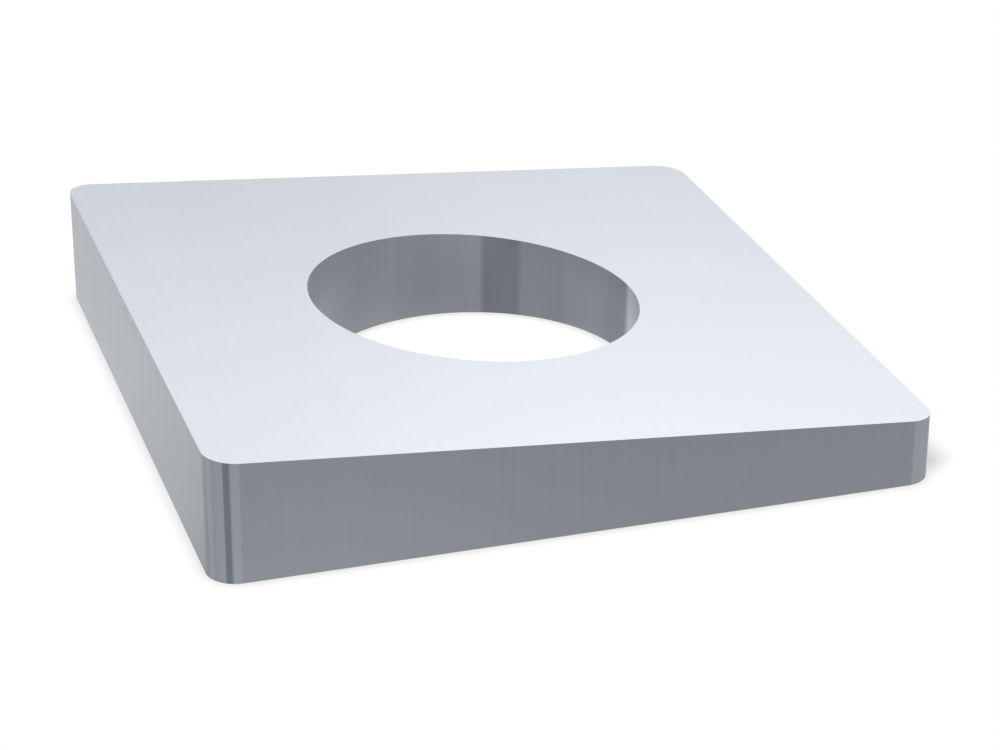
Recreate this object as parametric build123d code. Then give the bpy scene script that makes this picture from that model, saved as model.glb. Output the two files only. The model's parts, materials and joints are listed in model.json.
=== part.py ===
from build123d import *
import os

# Square taper washer for M10 bolts in the flanges of steel channels.
#
# The real one is a single piece of steel, blanked from rolled taper bar, with
# its bore punched. Its flat underside bears the bolt head or nut, and its
# upper face slopes with the flange that it lies against. The four walls and
# the bore stand square to the underside, the four upright corners are
# rounded, and the edges round both faces and at both mouths of the bore are
# left sharp.
#
# Millimetres. The origin is the centre of the bore on the flat underside.
# +Z runs up the bore, and +X runs down the slope, from the thick edge to the
# thin one.

# Driving dimensions
LENGTH = 22.0  # along the slope
WIDTH = 22.0  # across the slope, where the thickness is even
THICK_EDGE = 3.8  # height of the wall at the thick edge
TAPER = 0.08  # fall of the upper face for each millimetre of length
CORNER_RADIUS = 0.9  # upright corners, in plan
BOLT_DIAMETER = 10.0
BOLT_CLEARANCE = 0.5  # how much wider the bore is than the bolt

# Worked out from the driving dimensions
THIN_EDGE = THICK_EDGE - TAPER * LENGTH
BORE_RADIUS = (BOLT_DIAMETER + BOLT_CLEARANCE) / 2


def taper_bar():
    """The rolled bar's wedge section, seen from the side, carried across the width."""
    section = Polyline(
        (-LENGTH / 2, 0),
        (LENGTH / 2, 0),
        (LENGTH / 2, THIN_EDGE),
        (-LENGTH / 2, THICK_EDGE),
        close=True,
    )
    return extrude(Plane.XZ * make_face(section), amount=WIDTH / 2, both=True)


def round_corners(bar):
    """The four upright corners, each one arc from the underside to the slope."""
    return fillet(bar.edges().filter_by(Axis.Z), radius=CORNER_RADIUS)


def bolt_bore():
    """The punch that leaves the bore, from the underside to the highest point of the slope."""
    return Cylinder(BORE_RADIUS, THICK_EDGE, align=(Align.CENTER, Align.CENTER, Align.MIN))


def taper_washer():
    """The whole washer, one solid."""
    washer = round_corners(taper_bar()) - bolt_bore()
    washer.label = "taper_washer"
    return washer


os.makedirs("parts", exist_ok=True)
export_step(taper_washer(), "parts/taper_washer.step")
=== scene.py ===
import json
import math

import bpy
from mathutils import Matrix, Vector


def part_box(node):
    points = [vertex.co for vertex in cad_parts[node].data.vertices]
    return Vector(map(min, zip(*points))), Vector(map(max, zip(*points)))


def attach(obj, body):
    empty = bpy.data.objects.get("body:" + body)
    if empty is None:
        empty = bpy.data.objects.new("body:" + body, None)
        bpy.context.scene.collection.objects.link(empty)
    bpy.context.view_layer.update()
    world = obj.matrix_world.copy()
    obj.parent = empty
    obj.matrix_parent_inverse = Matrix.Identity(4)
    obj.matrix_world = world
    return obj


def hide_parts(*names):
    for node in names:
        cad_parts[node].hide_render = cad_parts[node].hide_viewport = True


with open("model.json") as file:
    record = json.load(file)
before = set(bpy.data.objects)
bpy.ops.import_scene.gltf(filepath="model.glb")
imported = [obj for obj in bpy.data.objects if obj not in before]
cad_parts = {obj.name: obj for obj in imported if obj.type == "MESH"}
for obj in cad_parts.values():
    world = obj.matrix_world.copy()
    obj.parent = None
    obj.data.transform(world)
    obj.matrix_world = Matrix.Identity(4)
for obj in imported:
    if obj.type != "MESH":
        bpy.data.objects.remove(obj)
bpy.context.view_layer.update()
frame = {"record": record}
scene = bpy.context.scene
scene.view_settings.view_transform = "Standard"


# The camera
# It stands in front of the washer and a little to its left, and looks down on the
# sloping face, so that the thick edge is on the left and the wedge shows in front.
CAMERA_TURN = math.radians(-17.189)  # round from the front, towards the thick edge
CAMERA_RISE = math.radians(24.988)  # up from the floor
CAMERA_DISTANCE = 0.0940
CAMERA_AIM = Vector((0, 0, 0.000116))


def towards(turn, climb):
    """The direction from the washer's bore, by the turn from the front and the climb."""
    level = math.cos(climb)
    return Vector((math.sin(turn) * level, -math.cos(turn) * level, math.sin(climb)))


camera = bpy.data.objects.new("camera", bpy.data.cameras.new("camera"))
camera.data.sensor_width = 36
camera.data.lens = 105.73
camera.data.shift_x = 0.0262
camera.data.clip_start = 0.001
camera.data.clip_end = 10
camera_side = towards(CAMERA_TURN, CAMERA_RISE)
camera.location = CAMERA_AIM + CAMERA_DISTANCE * camera_side
camera.rotation_mode = "QUATERNION"
camera.rotation_quaternion = camera_side.to_track_quat("Z", "Y")
scene.collection.objects.link(camera)
scene.camera = camera


# The washer
# A single piece of steel, blanked from rolled taper bar, with its bore punched. Its
# two rolled faces are bright, and its cut walls and its bore are darker, partly by painted shade, and
# scored.
low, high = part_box("taper_washer")
mounts = {mount["name"]: mount for mount in frame["record"]["mounts"]}
slope_normal = mounts["tapered_face"]["axis"]
LENGTH = high.x - low.x
WIDTH = high.y - low.y
THICK_EDGE = high.z - low.z
TAPER = slope_normal[0] / slope_normal[2]
BORE_RADIUS = mounts["bolt_bore"]["dims"]["r_mm"] / 1000
CORNER_RADIUS = 0.0009  # the upright corners, in plan


# Its rolled faces
# The bar's two broad faces, left as they came from the rolls: bright, with faint
# marks along the bar, which runs across the slope, and a little uneven all over.
ROLLED_COLOUR = (0.496, 0.522, 0.568)
ROLLED_ROUGHNESS = 0.30
LINE_PITCH = (0.00006, 0.0045, 0.001)  # along each axis, for the marks of the rolls
LINE_TONE = 0.035
LINE_ROUGHNESS = 0.018
LINE_DEPTH = 0.00000025
CLOUD_PITCH = (0.0035, 0.0080, 0.004)
CLOUD_TONE = 0.020
CLOUD_ROUGHNESS = 0.012


class Flow:
    """What flows out of a node's socket. Python's operators on it add Math nodes."""

    def __init__(self, socket):
        self.socket = socket

    @classmethod
    def node(cls, tree, kind, settings=None, inputs=None):
        """Adds a node to the tree: first its settings, then each socket's value or link."""
        made = tree.nodes.new(kind)
        for name, value in (settings or {}).items():
            setattr(made, name, value)
        sockets = [socket for socket in made.inputs if socket.enabled]
        for name, value in (inputs or {}).items():
            by_number = isinstance(name, int)
            socket = sockets[name] if by_number else next(s for s in sockets if s.name == name)
            for each in value if isinstance(value, list) else [value]:
                if isinstance(each, cls):
                    tree.links.new(each.socket, socket)
                else:
                    socket.default_value = each
        return cls(next(socket for socket in made.outputs if socket.enabled))

    def output(self, name):
        """Another output of the same node."""
        return Flow(self.socket.node.outputs[name])

    def math(self, operation, *others):
        """A Math node, with this value first."""
        values = dict(enumerate((self, *others)))
        return Flow.node(self.socket.id_data, "ShaderNodeMath", {"operation": operation}, values)

    def __add__(self, other):
        return self.math("ADD", other)

    def __sub__(self, other):
        return self.math("SUBTRACT", other)

    def __mul__(self, other):
        return self.math("MULTIPLY", other)

    def __truediv__(self, other):
        return self.math("DIVIDE", other)

    def __lt__(self, other):
        return self.math("LESS_THAN", other)

    def __rsub__(self, other):
        values = {0: other, 1: self}
        return Flow.node(self.socket.id_data, "ShaderNodeMath", {"operation": "SUBTRACT"}, values)

    __radd__ = __add__
    __rmul__ = __mul__

    def axes(self):
        """A vector's X, Y and Z."""
        split = Flow.node(self.socket.id_data, "ShaderNodeSeparateXYZ", inputs={0: self})
        return split, split.output("Y"), split.output("Z")


def finish(name, roughness):
    """A bare steel finish: its material, its shader and the place on the washer."""
    material = bpy.data.materials.new(name)
    material.use_nodes = True
    shader = material.node_tree.nodes["Principled BSDF"]
    shader.inputs["Metallic"].default_value = 1
    shader.inputs["Roughness"].default_value = roughness
    place = Flow.node(material.node_tree, "ShaderNodeTexCoord").output("Object")
    return material, shader, place


def grain(place, pitch, detail=2):
    """Noise from -1 to 1, whose marks are about as long along each axis as the pitch."""
    tree = place.socket.id_data
    stretched = Flow.node(tree, "ShaderNodeVectorMath", {"operation": "DIVIDE"}, {0: place, 1: pitch})
    settings = {"Vector": stretched, "Scale": 1, "Detail": detail}
    return Flow.node(tree, "ShaderNodeTexNoise", inputs=settings) * 2 - 1


def dress(shader, colour, tone, roughness, height, depth):
    """Feeds the shader: a colour made lighter or darker, a roughness and a relief."""
    tree = shader.id_data
    shaded = Flow.node(tree, "ShaderNodeVectorMath", {"operation": "SCALE"}, {0: colour, 1: tone})
    relief = Flow.node(tree, "ShaderNodeBump", inputs={"Distance": depth, "Height": height})
    for name, flow in (("Base Color", shaded), ("Roughness", roughness), ("Normal", relief)):
        tree.links.new(flow.socket, shader.inputs[name])


rolled, rolled_shader, place = finish("rolled_steel", ROLLED_ROUGHNESS)
lines = grain(place, LINE_PITCH)
clouds = grain(place, CLOUD_PITCH, detail=3)
dress(
    rolled_shader,
    ROLLED_COLOUR,
    tone=1 + LINE_TONE * lines + CLOUD_TONE * clouds,
    roughness=ROLLED_ROUGHNESS + LINE_ROUGHNESS * lines + CLOUD_ROUGHNESS * clouds,
    height=lines,
    depth=LINE_DEPTH,
)


# Its cut walls
# The four walls and the upright corners, sheared by the blanking die, which drags fine
# lines up them. They are darker than the rolled faces, partly by painted shade, and the
# rounded corners carry upright bands of painted reflection, lighter and darker.
# Darker than the rolled colour, partly as painted shade standing in for darker surroundings that the
# walls mirror
CUT_COLOUR = (0.244, 0.259, 0.285)
WALL_ROUGHNESS = 0.42
SCORING_PITCH = (0.00010, 0.00010, 0.006)
SCORING_TONE = 0.045
SCORING_ROUGHNESS = 0.040
SCORING_DEPTH = 0.0000004
FINE_PITCH = (0.00003, 0.00003, 0.0025)
FINE_TONE = 0.020
PAINTED_FOOT_LIGHTER = 0.06  # painted reflection: how much lighter the wall's foot is than its head
# Painted reflection bands on the rounded corners, each: from, how softly, to, how softly,
# and how much lighter than the wall. The angles are in degrees, from the front or back wall round to
# the wall at the end.
PAINTED_THICK_CORNER_BANDS = (
    (1.5, 3, 17, 3, 0.14),
    (19.5, 3, 31, 3, -0.35),
    (32, 3, 55, 3, 0.10),
    (55, 3, 68, 3, 0.24),
    (70, 3, 89, 3, -0.01),
)
PAINTED_THIN_CORNER_BANDS = ((6, 4, 36, 4, 0.11), (6, 8, 50, 8, 0.11))


def beyond(value, limit):
    """How far a value lies beyond a limit on either side of 0, with its sign."""
    return value.math("SIGN") * (value.math("ABSOLUTE") - limit).math("MAXIMUM", 0)


def rise(value, at, soft):
    """0 well before a value and 1 well after it."""
    edges = {"Value": value, "From Min": at - soft / 2, "From Max": at + soft / 2}
    tree = value.socket.id_data
    return Flow.node(tree, "ShaderNodeMapRange", {"interpolation_type": "SMOOTHSTEP"}, edges)


def between(value, start, start_soft, end, end_soft):
    """1 between two places and 0 outside them."""
    return rise(value, start, start_soft) - rise(value, end, end_soft)


def lighter_by(angle, painted_bands):
    """How much lighter the painted bands make a wall, at its angle round the washer."""
    first, *others = [lighter * between(angle, *place) for *place, lighter in painted_bands]
    return sum(others, first)


def dress_scored(shader, place, colour, painted_bands, painted_light):
    """A sheared wall: its painted bands of reflection, painted light that changes over it, and lines
    dragged up it.
    """
    scoring = grain(place, SCORING_PITCH)
    fine_scoring = grain(place, FINE_PITCH)
    dress(
        shader,
        colour,
        tone=painted_bands * (1 + painted_light + SCORING_TONE * scoring + FINE_TONE * fine_scoring),
        roughness=WALL_ROUGHNESS + SCORING_ROUGHNESS * scoring,
        height=scoring + fine_scoring,
        depth=SCORING_DEPTH,
    )


cut, cut_shader, place = finish("cut_steel", WALL_ROUGHNESS)
x, y, z = place.axes()
round_x = beyond(x, LENGTH / 2 - CORNER_RADIUS).math("ABSOLUTE")
round_y = beyond(y, WIDTH / 2 - CORNER_RADIUS).math("ABSOLUTE")
corner_turn = round_x.math("ARCTAN2", round_y).math("DEGREES")
on_thick_side = x < 0
# The painted reflection bands round the corners, each end with its own
painted_thick_bands = on_thick_side * lighter_by(corner_turn, PAINTED_THICK_CORNER_BANDS)
painted_thin_bands = (1 - on_thick_side) * lighter_by(corner_turn, PAINTED_THIN_CORNER_BANDS)
dress_scored(
    cut_shader,
    place,
    CUT_COLOUR,
    painted_bands=1 + painted_thick_bands + painted_thin_bands,
    painted_light=PAINTED_FOOT_LIGHTER * (0.5 - z / THICK_EDGE),
)


# Its punched bore
# The wall that the punch left, square to the underside and scored as the cut walls are,
# and darker than the rolled faces, partly by painted shade. Painted light makes it lighter
# at its thick side and towards the upper mouth at both ends, a painted highlight lies in a
# strip at its thin side, and painted reflection bands darken it at the back.
# Darker than the rolled colour, partly as painted shade, as for the cut walls
PUNCHED_COLOUR = (0.276, 0.291, 0.321)
# Painted reflection bands as above, but with angles from the bore's back towards the thin edge
PAINTED_BORE_BANDS = (
    (-12, 3, 4, 3, -0.04),
    (20, 3, 34, 3, -0.30),
    (34, 3, 52, 3, -0.09),
    (72, 5, 86, 5, -0.05),
)
# A painted highlight in a strip at the thin side, in the same columns as the bands
PAINTED_BORE_HIGHLIGHT = ((87.5, 5, 120, 36, 1.05),)
# Painted light, in the same columns: the thick side much lighter and the thin side a little
PAINTED_BORE_SIDES = ((-120, 50, -48, 44, 0.60), (62, 16, 120, 50, 0.06))
# How much painted light makes the upper mouth lighter than the foot. It goes with the square of the
# height, as a share of the wall's own, and at UNCHANGED it comes to nothing.
PAINTED_BORE_RISE = ((-120, 50, 25, 20, 0.23), (-120, 50, -40, 44, 1.30), (74, 24, 120, 50, 0.65))
UNCHANGED = 0.33

punched, punched_shader, place = finish("punched_steel", WALL_ROUGHNESS)
x, y, z = place.axes()
bore_turn = x.math("ARCTAN2", y).math("DEGREES")
up_wall = z / (THICK_EDGE - TAPER * (x + LENGTH / 2))
towards_mouth = up_wall * up_wall - UNCHANGED
dress_scored(
    punched_shader,
    place,
    PUNCHED_COLOUR,
    painted_bands=(1 + lighter_by(bore_turn, PAINTED_BORE_BANDS)) * (1 + lighter_by(bore_turn, PAINTED_BORE_HIGHLIGHT)),
    painted_light=lighter_by(bore_turn, PAINTED_BORE_SIDES) + lighter_by(bore_turn, PAINTED_BORE_RISE) * towards_mouth,
)


# Its shape
# The outline that the die cuts, with the bore in it, raised to the thick edge's height
# and brought down to the slope. The walls and the bore stand square to the underside.
SIZES = {
    "Length": LENGTH,
    "Width": WIDTH,
    "Thick Edge": THICK_EDGE,
    "Taper": TAPER,
    "Corner Radius": CORNER_RADIUS,
    "Bore Radius": BORE_RADIUS,
    "Corner Steps": 32,  # edges round each corner
    "Bore Steps": 256,  # edges round the bore
}
SAME_POINT = 0.000001  # corners that are nearer than this become one

tree = bpy.data.node_groups.new("square taper washer", "GeometryNodeTree")
inputs = {}
for name, value in SIZES.items():
    kind = "NodeSocketInt" if isinstance(value, int) else "NodeSocketFloat"
    inputs[name] = tree.interface.new_socket(name, in_out="INPUT", socket_type=kind).identifier
tree.interface.new_socket("Washer", in_out="OUTPUT", socket_type="NodeSocketGeometry")
group_input = Flow.node(tree, "NodeGroupInput")
length, width, thick_edge, taper, corner_radius, bore_radius, corner_steps, bore_steps = (
    group_input.output(name) for name in SIZES
)

bar = Flow.node(
    tree,
    "GeometryNodeCurvePrimitiveQuadrilateral",
    {"mode": "RECTANGLE"},
    {"Width": length, "Height": width},
)
outline = Flow.node(
    tree,
    "GeometryNodeFilletCurve",
    {"mode": "POLY"},
    {"Curve": bar, "Count": corner_steps, "Radius": corner_radius},
)
bore = Flow.node(
    tree,
    "GeometryNodeCurvePrimitiveCircle",
    {"mode": "RADIUS"},
    {"Resolution": bore_steps, "Radius": bore_radius},
)
both = Flow.node(tree, "GeometryNodeJoinGeometry", inputs={"Geometry": [outline, bore]})
plan = Flow.node(tree, "GeometryNodeFillCurve", {"mode": "TRIANGLES"}, {"Curve": both})
raised = Flow.node(
    tree,
    "GeometryNodeExtrudeMesh",
    {"mode": "FACES"},
    {"Mesh": plan, "Offset": (0, 0, 1), "Offset Scale": thick_edge, "Individual": False},
)
wall = raised.output("Side")
underside = Flow.node(tree, "GeometryNodeFlipFaces", inputs={"Mesh": plan})
block = Flow.node(tree, "GeometryNodeJoinGeometry", inputs={"Geometry": [raised, underside]})
closed = Flow.node(
    tree, "GeometryNodeMergeByDistance", inputs={"Geometry": block, "Distance": SAME_POINT}
)
x, y, z = Flow.node(tree, "GeometryNodeInputPosition").axes()
sloped = z * (1 - taper * (x + length / 2) / thick_edge)
position = Flow.node(tree, "ShaderNodeCombineXYZ", inputs={"X": x, "Y": y, "Z": sloped})
wedge = Flow.node(tree, "GeometryNodeSetPosition", inputs={"Geometry": closed, "Position": position})

# The walls' normals are those of the true flats and arcs, so that no edges show
in_bore = (x * x + y * y).math("SQRT") < bore_radius * 1.01  # with room for rounding
outward = Flow.node(
    tree,
    "ShaderNodeCombineXYZ",
    inputs={"X": beyond(x, length / 2 - corner_radius), "Y": beyond(y, width / 2 - corner_radius)},
)
inward = Flow.node(tree, "ShaderNodeCombineXYZ", inputs={"X": -1 * x, "Y": -1 * y})
wall_normal = Flow.node(
    tree,
    "GeometryNodeSwitch",
    {"input_type": "VECTOR"},
    {"Switch": in_bore, "False": outward, "True": inward},
)
face_normal = Flow.node(tree, "GeometryNodeInputNormal").output("True Normal")
normal = Flow.node(
    tree,
    "GeometryNodeSwitch",
    {"input_type": "VECTOR"},
    {"Switch": wall, "False": face_normal, "True": wall_normal},
)
unit_normal = Flow.node(tree, "ShaderNodeVectorMath", {"operation": "NORMALIZE"}, {0: normal})
shaded = Flow.node(
    tree,
    "GeometryNodeSetMeshNormal",
    {"mode": "FREE", "domain": "CORNER"},
    {"Mesh": wedge, "Custom Normal": unit_normal},
)
result = Flow.node(tree, "GeometryNodeRealizeInstances", inputs={"Geometry": shaded})
bore_wall = Flow.node(tree, "FunctionNodeBooleanMath", {"operation": "AND"}, {0: wall, 1: in_bore})
for selection, material in ((True, rolled), (wall, cut), (bore_wall, punched)):
    result = Flow.node(
        tree,
        "GeometryNodeSetMaterial",
        inputs={"Geometry": result, "Selection": selection, "Material": material},
    )
tree.links.new(result.socket, tree.nodes.new("NodeGroupOutput").inputs["Washer"])

maker = bpy.data.objects.new("washer maker", bpy.data.meshes.new("washer maker"))
scene.collection.objects.link(maker)
modifier = maker.modifiers.new("square taper washer", "NODES")
modifier.node_group = tree
for name, value in SIZES.items():
    modifier[inputs[name]] = value
made = maker.evaluated_get(bpy.context.evaluated_depsgraph_get())
washer = bpy.data.objects.new("square_taper_washer", bpy.data.meshes.new_from_object(made))
washer.data.materials.pop(index=0)  # the empty slot that the tree leaves in front
bpy.data.objects.remove(maker)
scene.collection.objects.link(washer)
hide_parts("taper_washer")
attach(washer, "root")


# The floor
# A plain white sheet, wide enough to run out of the picture on every side. It shows
# the washer's shadow, partly real and partly painted, as ambient occlusion sets how much of
# the lit sheet shows, and for the walls' mirror rays it glows brighter than white, a
# painted pool of light, lightest at the back of the thick side.
FLOOR_HALF = 0.5
FLOOR_COLOUR = (0.66, 0.66, 0.66, 1)
SHADOW_REACH = 0.0004  # from the washer's foot
SHADOW_DEPTH = 0.70
# Past the thin edge the painted shadow is longer and darker, leaned as if more light came
# from the thick side. It starts a little behind the front corner.
THIN_SHADOW_REACH = 0.00132
THIN_SHADOW_DEPTH = 1.52
THIN_SHADOW_LEAN = 0.77  # how far the painted shadow's occlusion leans, across for each unit up
THIN_SHADOW_EDGE = (LENGTH / 2, 0.001)  # where it starts along X, and how softly
THIN_SHADOW_FRONT = (-WIDTH / 2 + 0.00078, 0.00145)  # the same along Y
# For the walls' mirror rays only, the floor glows brighter than white beside the thick
# edge, most at its back and not at its front end: a painted pool of light. Each place is given with
# its softness.
MIRRORED_GLOW = 0.18
MIRRORED_GLOW_SIDE = (0.0025, 0.0130)
MIRRORED_GLOW_AT_BACK = 0.25
BACK = (-0.0010, 0.0125)
LESS_GLOW_IN_FRONT = 0.20
FRONT_END = (-0.0108, 0.0010, -0.0080, 0.0044)

floor_corners = [(x * FLOOR_HALF, y * FLOOR_HALF, 0) for x, y in ((-1, -1), (1, -1), (1, 1), (-1, 1))]
floor = bpy.data.objects.new("floor", bpy.data.meshes.new("floor"))
floor.data.from_pydata(floor_corners, [], [(0, 1, 2, 3)])
scene.collection.objects.link(floor)
paper = bpy.data.materials.new("white_paper")
paper.use_nodes = True
tree = paper.node_tree
tree.nodes.clear()
x, y, _ = Flow.node(tree, "ShaderNodeTexCoord").output("Object").axes()
past_thin_edge = rise(x, *THIN_SHADOW_EDGE) * rise(y, *THIN_SHADOW_FRONT)
reach = SHADOW_REACH + (THIN_SHADOW_REACH - SHADOW_REACH) * past_thin_edge
depth = SHADOW_DEPTH + (THIN_SHADOW_DEPTH - SHADOW_DEPTH) * past_thin_edge
lean = {"X": -THIN_SHADOW_LEAN * past_thin_edge, "Z": 1}
lean = Flow.node(tree, "ShaderNodeCombineXYZ", inputs=lean)
lean = Flow.node(tree, "ShaderNodeVectorMath", {"operation": "NORMALIZE"}, {0: lean})
unshaded = Flow.node(
    tree, "ShaderNodeAmbientOcclusion", {"samples": 16}, {"Distance": reach, "Normal": lean}
).output("AO")
rays = Flow.node(tree, "ShaderNodeLightPath")
mirrored = rays.output("Is Glossy Ray")
# The painted shadow: ambient occlusion sets how much of the lit sheet shows through the white
seen = rays.output("Is Camera Ray") * (1 - depth * (1 - unshaded))
lights_up = seen + mirrored + rays.output("Is Transmission Ray")
# The painted pool of light, which only mirror rays see
by_length = MIRRORED_GLOW + MIRRORED_GLOW_AT_BACK * rise(y, *BACK) - LESS_GLOW_IN_FRONT * between(y, *FRONT_END)
mirrored_glow = rise(-1 * x, *MIRRORED_GLOW_SIDE) * by_length
white = {0: (1, 1, 1), 1: 1 + mirrored_glow * mirrored}
white = Flow.node(tree, "ShaderNodeVectorMath", {"operation": "SCALE"}, white)
white = Flow.node(tree, "ShaderNodeEmission", inputs={"Color": white})
lit = Flow.node(tree, "ShaderNodeBsdfDiffuse", inputs={"Color": FLOOR_COLOUR})
surface = Flow.node(tree, "ShaderNodeMixShader", inputs={0: lights_up, 1: lit, 2: white})
tree.links.new(surface.socket, tree.nodes.new("ShaderNodeOutputMaterial").inputs["Surface"])
floor.data.materials.append(paper)


# The light
# An even white room, and two soft panels behind the washer, less bright than the
# room. The sloping face mirrors them in part, which gives it its sheen.
world = bpy.data.worlds.new("white room")
world.use_nodes = True
world.node_tree.nodes["Background"].inputs["Color"].default_value = (1, 1, 1, 1)
scene.world = world

PANELS = {  # turn from the front and rise, in degrees, distance, width, height, brightness
    "far panel": (135, 38, 0.215, 0.189, 0.135, 0.325),
    "near panel": (184, 43, 0.0635, 0.134, 0.037, 0.587),
}
for name, (turn, climb, distance, width, height, brightness) in PANELS.items():
    panel = bpy.data.objects.new(name, bpy.data.lights.new(name, "AREA"))
    panel.data.shape = "RECTANGLE"
    panel.data.size = width
    panel.data.size_y = height
    panel.data.energy = brightness * math.pi * width * height
    direction = towards(math.radians(turn), math.radians(climb))
    panel.location = distance * direction
    panel.rotation_mode = "QUATERNION"
    panel.rotation_quaternion = direction.to_track_quat("Z", "Y")
    panel.visible_camera = False
    scene.collection.objects.link(panel)
